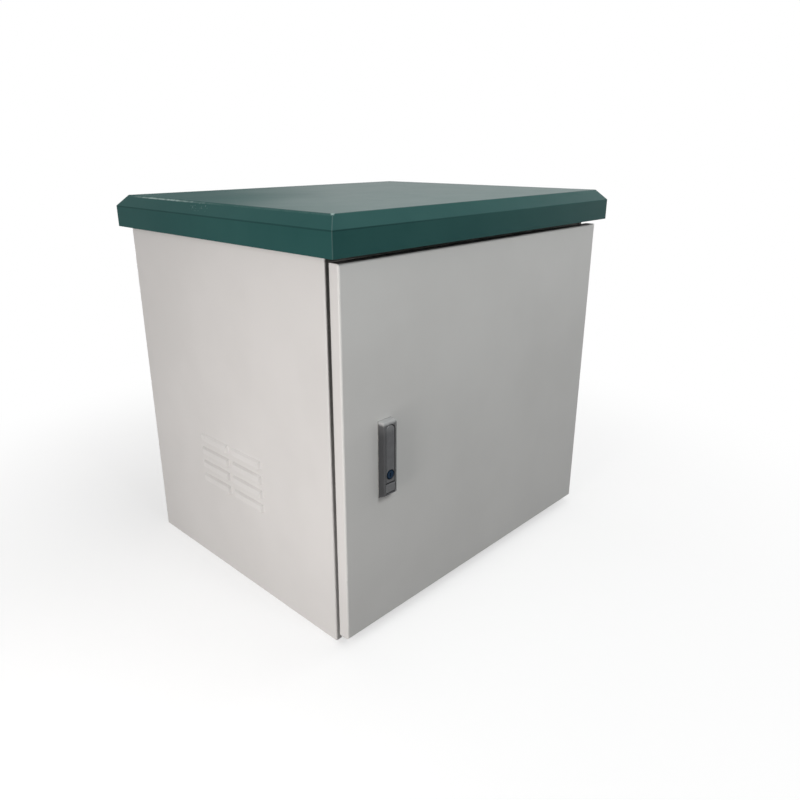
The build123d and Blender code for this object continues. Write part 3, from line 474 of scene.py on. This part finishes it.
# Rubber, plastic and filter
RUBBER_BLACK = (0.018, 0.018, 0.019)
RUBBER_DUST = (0.075, 0.072, 0.068)
RUBBER_PORE = 0.7 * MM
RUBBER_PORE_DEPTH = 0.08 * MM
RUBBER_DUST_PATCH = 14 * MM
CHALK_DARK = (0.20, 0.20, 0.195)
CHALK_PALE = (0.31, 0.31, 0.30)
CHALK_PATCH = 5 * MM
CHALK_PORE = 0.4 * MM
CHALK_PORE_DEPTH = 0.05 * MM
PLASTIC_BLACK = (0.028, 0.029, 0.031)
PLASTIC_DUST = (0.10, 0.098, 0.094)
SPARK_GRAIN = 0.6 * MM
SPARK_HEIGHT = 0.06 * MM
PLASTIC_DUST_PATCH = 20 * MM
FIBRE_WHITE = (0.66, 0.66, 0.64)
FIBRE_SOOT = (0.44, 0.43, 0.41)
FIBRE_SHADE = (0.34, 0.34, 0.33)
FIBRE_WIDTH = 0.5 * MM
FIBRE_HEIGHT = 0.5 * MM
LEVEL_FIBRE_SCALE = (1, 0.10, 1)
UPRIGHT_FIBRE_SCALE = (1, 1, 0.10)
SOOT_PATCH = 40 * MM


def foam_rubber(place):
    """Black foamed seal: closed skin with fine pores and a little dust."""
    pores = place.cells(RUBBER_PORE).ramp(0.05, 0.35)
    dust = place.noise(RUBBER_DUST_PATCH, 5.0).ramp(0.5, 0.8)
    return {
        "Base Color": (dust * 0.5).tint(RUBBER_BLACK, RUBBER_DUST),
        "Roughness": 0.72 + dust * 0.15,
        "Normal": pores.bump(0.5, RUBBER_PORE_DEPTH),
    }


def chalked_seal(place):
    """Handle seal whose rubber has chalked to a pale grey in the sun."""
    chalk = place.noise(CHALK_PATCH, 5.0)
    pores = place.noise(CHALK_PORE, 2.0)
    return {
        "Base Color": chalk.ramp(0.3, 0.7).tint(CHALK_DARK, CHALK_PALE),
        "Roughness": 0.74 + pores * 0.15,
        "Normal": pores.bump(0.4, CHALK_PORE_DEPTH),
    }


def moulded_black(place):
    """Spark-textured black plastic of the filter cassettes."""
    spark = place.noise(SPARK_GRAIN, 2.0)
    dust = place.noise(PLASTIC_DUST_PATCH, 5.0).ramp(0.45, 0.75)
    return {
        "Base Color": (dust * 0.6).tint(PLASTIC_BLACK, PLASTIC_DUST),
        "Roughness": 0.50 + spark * 0.15,
        "Normal": spark.bump(0.4, SPARK_HEIGHT),
    }


def filter_fibres(place):
    """Matted white fibres, greyer where air has passed."""
    level = place.stretched(LEVEL_FIBRE_SCALE).noise(FIBRE_WIDTH, 4.0)
    upright = place.stretched(UPRIGHT_FIBRE_SCALE).noise(FIBRE_WIDTH, 4.0)
    fibres = level.larger(upright)
    soot = place.noise(SOOT_PATCH, 5.0)
    colour = soot.ramp(0.3, 0.75).tint(FIBRE_WHITE, FIBRE_SOOT)
    return {
        "Base Color": fibres.ramp(0.45, 0.62).tint(FIBRE_SHADE, colour),
        "Roughness": 0.82 + fibres * 0.12,
        "Normal": fibres.bump(0.9, FIBRE_HEIGHT),
    }


finishes = {
    "body_grey": make_finish("powder_coat", powder_coat),
    "roof_green": make_finish("roof_paint", roof_paint, Specular_IOR_Level=ROOF_GLOSS),
    "handle_grey": make_finish("cast_handle", cast_handle),
    "lever_grey": make_finish("lever_coat", lever_coat),
    "zinc_plated": make_finish("zinc_plate", zinc_plate, Metallic=1.0),
    "key_steel": make_finish("turned_nickel", turned_nickel, Metallic=1.0),
    "key_blue": make_finish("blue_cap", blue_cap, Specular_IOR_Level=CAP_GLOSS),
    "rubber_black": make_finish("foam_rubber", foam_rubber),
    "seal_grey": make_finish("chalked_seal", chalked_seal),
    "filter_plastic": make_finish("moulded_black", moulded_black),
    "filter_mat": make_finish("filter_fibres", filter_fibres),
}
for part in frame["record"]["subparts"]:
    mesh = nodes[part["node"]].data
    mesh.materials.clear()
    mesh.materials.append(finishes[part["material_slot"]])
for node in ("handle_lever", "release_button"):
    nodes[node].data.materials[0] = finishes["lever_grey"]
nodes["handle_seal"].data.materials[0] = finishes["seal_grey"]


# Meshes built from rings of points
STEPS = 48
SMOOTH_ANGLE = 35


def add_piece(name, points, faces, body, slot, smooth=SMOOTH_ANGLE):
    """Mesh piece on a CAD body, with a slot's finish; edges sharper than smooth degrees stay sharp."""
    mesh = bpy.data.meshes.new(name)
    mesh.from_pydata([tuple(point) for point in points], [], faces)
    mesh.validate()
    mesh.shade_smooth()
    mesh.set_sharp_from_angle(angle=math.radians(smooth))
    mesh.materials.append(finishes[slot])
    piece = bpy.data.objects.new(name, mesh)
    bpy.context.scene.collection.objects.link(piece)
    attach(piece, body)
    return piece


def rings_to_mesh(rings, looped=False):
    """Points and faces of rings of equal length, joined in a row with closed ends or in a loop."""
    count = len(rings[0])
    points = [point for ring in rings for point in ring]
    faces = []
    for row in range(len(rings) if looped else len(rings) - 1):
        low = row * count
        high = (row + 1) % len(rings) * count
        for step in range(count):
            after = (step + 1) % count
            faces.append((low + step, low + after, high + after, high + step))
    if not looped:
        faces.append(tuple(reversed(range(count))))
        faces.append(tuple(range(len(points) - count, len(points))))
    return points, faces


def joined(shapes):
    """One list of points and faces from several."""
    points, faces = [], []
    for more_points, more_faces in shapes:
        start = len(points)
        points += more_points
        faces += [tuple(start + corner for corner in face) for face in more_faces]
    return points, faces


def placed(shape, origin, axis):
    """A shape made along +Z, moved to its origin and turned to its axis."""
    turn = Vector(UP).rotation_difference(Vector(axis)).to_matrix()
    return [turn @ Vector(point) + Vector(origin) for point in shape[0]], shape[1]


def circle(radius, z, steps=STEPS):
    """Ring of points at a height."""
    angles = [TURN * step / steps for step in range(steps)]
    return [(radius * math.cos(angle), radius * math.sin(angle), z) for angle in angles]


# Screws, nuts and washers
ScrewSize = namedtuple("ScrewSize", "radius pitch flats")
M4 = ScrewSize(2.0 * MM, 0.70 * MM, 7 * MM)
M5 = ScrewSize(2.5 * MM, 0.80 * MM, 8 * MM)
M6 = ScrewSize(3.0 * MM, 1.00 * MM, 10 * MM)
M8 = ScrewSize(4.0 * MM, 1.25 * MM, 13 * MM)
HEX_CHAMFER = math.radians(30)
HEAD_FACE_SHARE = 0.94
HEAD_DISH_SHARES = (0.62, 0.55, 0.10)
HEAD_DISH = 0.30 * MM
HEAD_COLLAR = 0.35 * MM
NUT_FACE_SHARE = 0.96
NUT_MOUTH_SHARE = 1.08
NUT_MOUTH = 0.4 * MM
WASHER_EDGE = 0.2 * MM
THREAD_STEPS = STEPS // 2
THREAD_ROWS_PER_TURN = 4
THREAD_DEPTH_SHARE = 0.61
THREAD_END_SHARE = 0.9
CREST_SLOPE = 1.3
ROOT_FLAT = 0.15
SAME_POINT_DIGITS = 6


def hexagon_ring(flats, z, chamfer=None):
    """Six-sided ring; with a chamfer circle's radius, it dips where its corners pass that circle."""
    ring = []
    for step in range(STEPS):
        angle = TURN * step / STEPS
        lean = (angle % (TURN / 6)) - TURN / 12
        radius = flats / 2 / math.cos(lean)
        dip = 0 if chamfer is None else (radius - chamfer) * math.tan(HEX_CHAMFER)
        ring.append((radius * math.cos(angle), radius * math.sin(angle), z - dip))
    return ring


def hex_head(flats, low, high):
    """Chamfered six-sided head with a dished top, on a round collar."""
    face = flats / 2 * HEAD_FACE_SHARE
    collar = low + HEAD_COLLAR
    rim, slope, floor = (face * share for share in HEAD_DISH_SHARES)
    return rings_to_mesh([
        circle(face, low), circle(face, collar), hexagon_ring(flats, collar),
        hexagon_ring(flats, high, face), circle(face, high),
        circle(rim, high), circle(slope, high - HEAD_DISH), circle(floor, high - HEAD_DISH),
    ])


def thread(size, low, high):
    """Screw thread as one wound surface, closed by flat ends."""
    depth = THREAD_DEPTH_SHARE * size.pitch
    end = (size.radius - depth) * THREAD_END_SHARE
    rows = int((high - low) / size.pitch * THREAD_ROWS_PER_TURN)
    rings = [circle(end, low, THREAD_STEPS)]
    for row in range(rows + 1):
        z = low + (high - low) * row / rows
        ring = []
        for step in range(THREAD_STEPS):
            share = step / THREAD_STEPS
            phase = ((z - low) / size.pitch - share) % 1
            crest = 1 - abs(2 * phase - 1)
            ridge = size.radius - depth * (1 - min(1, max(0, crest * CREST_SLOPE - ROOT_FLAT)))
            ring.append((ridge * math.cos(TURN * share), ridge * math.sin(TURN * share), z))
        rings.append(ring)
    rings.append(circle(end, high, THREAD_STEPS))
    return rings_to_mesh(rings)


def nut(size, low, high):
    """Six-sided nut, chamfered on both faces, with a round hole."""
    face = size.flats / 2 * NUT_FACE_SHARE
    hole = size.radius
    mouth = hole * NUT_MOUTH_SHARE
    upper = hexagon_ring(size.flats, high, face)
    lower = [(x, y, low + high - z) for x, y, z in upper]
    return rings_to_mesh([
        circle(mouth, low), circle(face, low), lower, upper, circle(face, high),
        circle(mouth, high), circle(hole, high - NUT_MOUTH), circle(hole, low + NUT_MOUTH),
    ], looped=True)


def washer(outer, hole, low, high):
    """Flat washer with broken outer edges."""
    flat = outer - WASHER_EDGE
    return rings_to_mesh([
        circle(hole, low), circle(flat, low), circle(outer, low + WASHER_EDGE),
        circle(outer, high - WASHER_EDGE), circle(flat, high), circle(hole, high),
    ], looped=True)


def islands(node):
    """Boxes of a CAD node's separate solids, as (lowest corner, highest corner)."""
    mesh = nodes[node].data
    found = {}
    index = []
    for vertex in mesh.vertices:
        point = tuple(round(c, SAME_POINT_DIGITS) for c in vertex.co)
        index.append(found.setdefault(point, len(found)))
    owner = list(range(len(found)))

    def top(item):
        """The point that stands for an item's whole solid."""
        while owner[item] != item:
            item = owner[item]
        return item

    for polygon in mesh.polygons:
        corners = [index[vertex] for vertex in polygon.vertices]
        for corner in corners[1:]:
            owner[top(corner)] = top(corners[0])
    groups = {}
    for point, item in found.items():
        groups.setdefault(top(item), []).append(point)
    boxes = [([min(c) for c in zip(*g)], [max(c) for c in zip(*g)]) for g in groups.values()]
    return sorted(boxes)


def middle_of(low, high):
    """Middle of a box."""
    return [(a + b) / 2 for a, b in zip(low, high)]


def screw_in(low, high, size, head, axis):
    """Threaded hexagon screw in a plain one's box; the axis points from its tip to its head."""
    along = max(range(3), key=lambda way: abs(axis[way]))
    length = high[along] - low[along]
    tip = middle_of(low, high)
    tip[along] = low[along] if axis[along] > 0 else high[along]
    shank = length - head
    shape = joined([thread(size, 0, shank), hex_head(size.flats, shank, length)])
    return placed(shape, tip, axis)


def screw_set(name, node, size, head, axis, body):
    """Threaded hexagon screws in place of a node's plain ones, all heads one way."""
    shapes = [screw_in(low, high, size, head, axis) for low, high in islands(node)]
    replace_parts(add_piece(name, *joined(shapes), body, "zinc_plated"), node)


def rail_bolts(head):
    """Bolts of the rack rails, with their heads towards the middle of the cabinet."""
    shapes = []
    for low, high in islands("rack_rail_bolts"):
        inward = -1 if middle_of(low, high)[X] > 0 else 1
        shapes.append(screw_in(low, high, M6, head, (inward, 0, 0)))
    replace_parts(add_piece("rail_bolt_set", *joined(shapes), "cabinet", "zinc_plated"), "rack_rail_bolts")


def nut_set(name, node, size, along):
    """Round-holed nuts in place of a node's plain ones."""
    axis = [1 if way == along else 0 for way in range(3)]
    shapes = []
    for low, high in islands(node):
        half = (high[along] - low[along]) / 2
        shapes.append(placed(nut(size, -half, half), middle_of(low, high), axis))
    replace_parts(add_piece(name, *joined(shapes), "cabinet", "zinc_plated"), node)


ROOF_BOLT_HEAD = 5.3 * MM
GLAND_SCREW_HEAD = 2.6 * MM
HINGE_SCREW_HEAD = 2.2 * MM
CLAMP_SCREW_HEAD = 2.6 * MM
RAIL_BOLT_HEAD = 4 * MM

screw_set("roof_bolt_set", "roof_bolts", M8, ROOF_BOLT_HEAD, DOWN, "cabinet")
screw_set("gland_screw_set", "gland_plate_screws", M5, GLAND_SCREW_HEAD, UP, "cabinet")
screw_set("hinge_screw_set", "hinge_screws", M5, HINGE_SCREW_HEAD, FRONT, "cabinet")
screw_set("clamp_screw_set", "handle_clamp_screws", M4, CLAMP_SCREW_HEAD, BACK, "door")
rail_bolts(RAIL_BOLT_HEAD)
nut_set("rail_nut_set", "rack_rail_nuts", M6, X)
nut_set("roof_nut_set", "roof_nuts", M8, Z)


# Earth stud, rivets and door seal
EARTH_FOOT = 2 * MM
EARTH_FOOT_FLATS = 16 * MM
EARTH_WASHER_RADIUS = 8 * MM
EARTH_WASHER_THICK = 1.6 * MM
EARTH_SPRING_RADIUS = 7.4 * MM
EARTH_SPRING_THICK = 1.8 * MM
EARTH_HOLE_RADIUS = 4.1 * MM
EARTH_NUT_HEIGHT = 6.5 * MM
RIVET_INSET = 5 * MM
RIVET_PLACE_SHARES = (0, 0.5, 1)
# Radius and height of the rivet's rings, from its foot to the dimple in its crown
RIVET_DOME = (
    (3.2 * MM, 0), (3.2 * MM, 0.3 * MM), (2.7 * MM, 0.9 * MM),
    (1.7 * MM, 1.35 * MM), (0.9 * MM, 1.45 * MM), (0.8 * MM, 1.1 * MM),
)
SEAL_WIDTH = 12 * MM
SEAL_CORNER = 10 * MM
SEAL_CORNER_STEPS = 8
SEAL_SMOOTH = 60
# Across the seal's width and up its height
SEAL_PROFILE_SHARES = (
    (-0.5, 0.0), (-0.47, 0.42), (-0.40, 0.70), (-0.26, 0.90), (-0.09, 1.0),
    (0.09, 1.0), (0.26, 0.90), (0.40, 0.70), (0.47, 0.42), (0.5, 0.0),
)


def earth_terminal():
    """Threaded earth stud on its welded foot, with washers and a nut ready for a lug."""
    low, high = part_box("earth_stud")
    foot = ((low.x + high.x) / 2, (low.y + high.y) / 2, low.z)
    length = high.z - low.z
    stud = joined([hex_head(EARTH_FOOT_FLATS, 0, EARTH_FOOT), thread(M8, EARTH_FOOT, length)])
    stud = placed(stud, foot, UP)
    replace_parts(add_piece("earth_stud_threaded", *stud, "cabinet", "zinc_plated"), "earth_stud")
    spring = EARTH_FOOT + EARTH_WASHER_THICK
    seat = spring + EARTH_SPRING_THICK
    hardware = joined([
        washer(EARTH_WASHER_RADIUS, EARTH_HOLE_RADIUS, EARTH_FOOT, spring),
        washer(EARTH_SPRING_RADIUS, EARTH_HOLE_RADIUS, spring, seat),
        nut(M8, seat, seat + EARTH_NUT_HEIGHT),
    ])
    hardware = placed(hardware, foot, UP)
    add_piece("earth_nut_and_washers", *hardware, "cabinet", "zinc_plated")


def guard_rivets():
    """Domed rivets that hold the vent guard to the top pan."""
    low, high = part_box("vent_guard")
    dome = rings_to_mesh([circle(radius, height) for radius, height in RIVET_DOME])
    shapes = []
    for share in RIVET_PLACE_SHARES:
        x = low.x + RIVET_INSET + share * (high.x - low.x - 2 * RIVET_INSET)
        for y in (low.y + RIVET_INSET, high.y - RIVET_INSET):
            shapes.append(placed(dome, (x, y, high.z), UP))
    add_piece("guard_rivets", *joined(shapes), "cabinet", "zinc_plated")


def door_seal():
    """Foamed door gasket with a rounded crown and rounded corners."""
    low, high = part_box("door_gasket")
    height = high.y - low.y
    half_x = (high.x - low.x - SEAL_WIDTH) / 2 - SEAL_CORNER
    half_z = (high.z - low.z - SEAL_WIDTH) / 2 - SEAL_CORNER
    middle_z = (low.z + high.z) / 2
    rings = []
    for turn, (side_x, side_z) in enumerate(((1, 1), (-1, 1), (-1, -1), (1, -1))):
        for step in range(SEAL_CORNER_STEPS + 1):
            angle = TURN / 4 * (turn + step / SEAL_CORNER_STEPS)
            ring = []
            for across, up in SEAL_PROFILE_SHARES:
                reach = SEAL_CORNER + across * SEAL_WIDTH
                x = side_x * half_x + math.cos(angle) * reach
                z = middle_z + side_z * half_z + math.sin(angle) * reach
                ring.append((x, low.y + up * height, z))
            rings.append(ring)
    points, faces = rings_to_mesh(rings, looped=True)
    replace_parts(add_piece("door_seal", points, faces, "door", "rubber_black", SEAL_SMOOTH), "door_gasket")


earth_terminal()
guard_rivets()
door_seal()


# Studio, in metres
WHITE = (1, 1, 1, 1)
PALE_FLOOR = (0.97, 0.97, 0.97)
FLOOR_BOUNCE = (0.09, 0.09, 0.09)
FLOOR_REACH = 14
FLOOR_GLOW = 0.55
FLOOR_FADE = (0.40, 1.10)
SOFT_LIGHT = 0.26
SEEN_RAYS = ("Is Camera Ray", "Is Glossy Ray", "Is Transmission Ray")


def backdrop_rays(tree):
    """1 for rays that show the backdrop: to the camera, mirrored or through glass."""
    path = Value(tree)
    straight, mirrored, through = [path.add("ShaderNodeLightPath", output=ray) for ray in SEEN_RAYS]
    return straight.larger(mirrored).larger(through)


def pale_floor():
    """Material that keeps the cabinet's shadow and fades to the white backdrop away from it."""
    material = bpy.data.materials.new("pale_floor")
    material.use_nodes = True
    tree = material.node_tree
    tree.nodes.clear()
    place = Value(tree).add("ShaderNodeTexCoord", output="Object")
    seen = backdrop_rays(tree)
    reach = place.add("ShaderNodeVectorMath", {"operation": "LENGTH"}, {0: place}, "Value")
    paper = place.add("ShaderNodeBsdfDiffuse", None, {"Color": seen.tint(FLOOR_BOUNCE, PALE_FLOOR)})
    white = place.add("ShaderNodeEmission", None, {"Color": WHITE, "Strength": 1.0})
    fade = (FLOOR_GLOW + reach.ramp(*FLOOR_FADE) * (1 - FLOOR_GLOW)) * seen
    shader = place.add("ShaderNodeMixShader", None, {0: fade, 1: paper, 2: white})
    place.add("ShaderNodeOutputMaterial", None, {"Surface": shader})
    return material


def studio_floor():
    """Wide level floor under the cabinet."""
    mesh = bpy.data.meshes.new("studio_floor")
    corners = [(x * FLOOR_REACH, y * FLOOR_REACH, 0) for x, y in ((-1, -1), (1, -1), (1, 1), (-1, 1))]
    mesh.from_pydata(corners, [], [(0, 1, 2, 3)])
    mesh.materials.append(pale_floor())
    floor = bpy.data.objects.new("studio_floor", mesh)
    bpy.context.scene.collection.objects.link(floor)


def studio_world():
    """White backdrop to the camera and to reflections, plain soft light to the rest."""
    world = bpy.data.worlds.new("studio")
    bpy.context.scene.world = world
    world.use_nodes = True
    tree = world.node_tree
    tree.nodes.clear()
    seen = backdrop_rays(tree)
    light = seen.add("ShaderNodeBackground", None, {"Color": WHITE, "Strength": SOFT_LIGHT})
    paper = seen.add("ShaderNodeBackground", None, {"Color": WHITE, "Strength": 1.0})
    shader = seen.add("ShaderNodeMixShader", None, {0: seen, 1: light, 2: paper})
    seen.add("ShaderNodeOutputWorld", None, {"Surface": shader})


def softbox(name, place, target, size, watts, colour):
    """Square area lamp aimed at a point."""
    lamp = bpy.data.lights.new(name, "AREA")
    lamp.size = size
    lamp.energy = watts
    lamp.color = colour
    box = bpy.data.objects.new(name, lamp)
    aim = (Vector(target) - Vector(place)).to_track_quat("-Z", "Y")
    box.matrix_world = Matrix.Translation(place) @ aim.to_matrix().to_4x4()
    bpy.context.scene.collection.objects.link(box)


# Camera fitted to the photograph: lengths on the picture in pixels, its place in metres
PHOTO_SIDE = 800
PHOTO_CENTRE_X = 385.4
PHOTO_CENTRE_Y = 387.8
PHOTO_FOCAL = 688.3
CAMERA_PLACE = (-0.8318, -0.8626, 0.6710)
CAMERA_HEADING = math.radians(44.4664)  # from +X towards +Y
CAMERA_TILT = math.radians(19.2961)  # down from level
CAMERA_ROLL = math.radians(0.2531)  # right side down
SENSOR_WIDTH = 36
NEAREST = 10 * MM


def photo_camera():
    """Camera where the photograph was taken from, fitted to the cabinet's corners."""
    lens = bpy.data.cameras.new("photo_camera")
    lens.sensor_width = SENSOR_WIDTH
    lens.lens = PHOTO_FOCAL / PHOTO_SIDE * SENSOR_WIDTH
    lens.shift_x = (PHOTO_SIDE / 2 - PHOTO_CENTRE_X) / PHOTO_SIDE
    lens.shift_y = (PHOTO_CENTRE_Y - PHOTO_SIDE / 2) / PHOTO_SIDE
    lens.clip_start = NEAREST
    camera = bpy.data.objects.new("photo_camera", lens)
    heading = Matrix.Rotation(CAMERA_HEADING - TURN / 4, 4, "Z")
    tilt = Matrix.Rotation(TURN / 4 - CAMERA_TILT, 4, "X")
    roll = Matrix.Rotation(-CAMERA_ROLL, 4, "Z")
    camera.matrix_world = Matrix.Translation(CAMERA_PLACE) @ heading @ tilt @ roll
    bpy.context.scene.collection.objects.link(camera)
    bpy.context.scene.camera = camera


WARM = (1.0, 0.955, 0.938)
COOL = (0.95, 0.99, 0.99)
NEUTRAL = (1, 1, 1)

studio_floor()
studio_world()
softbox("left_low_softbox", (-1.25, -0.34, 0.14), (-0.3, -0.05, 0.10), size=0.4, watts=7.5, colour=WARM)
softbox("left_high_softbox", (-1.35, -0.36, 0.80), (-0.3, -0.05, 0.2), size=0.5, watts=4.2, colour=WARM)
softbox("front_softbox", (-0.24, -1.35, 1.45), (0, -0.2, 0.35), size=0.45, watts=10.2, colour=COOL)
softbox("right_softbox", (2.3, -0.4, 0.9), (0.3, 0, 0.3), size=1.2, watts=17, colour=NEUTRAL)
softbox("back_softbox", (0.1, 2.5, 0.36), (0, 0.2, 0.3), size=0.7, watts=15, colour=NEUTRAL)
softbox("top_softbox", (0.5, -0.3, 2.6), (0, 0, 0.3), size=1.6, watts=14, colour=NEUTRAL)
photo_camera()
bpy.context.scene.view_settings.view_transform = "Standard"
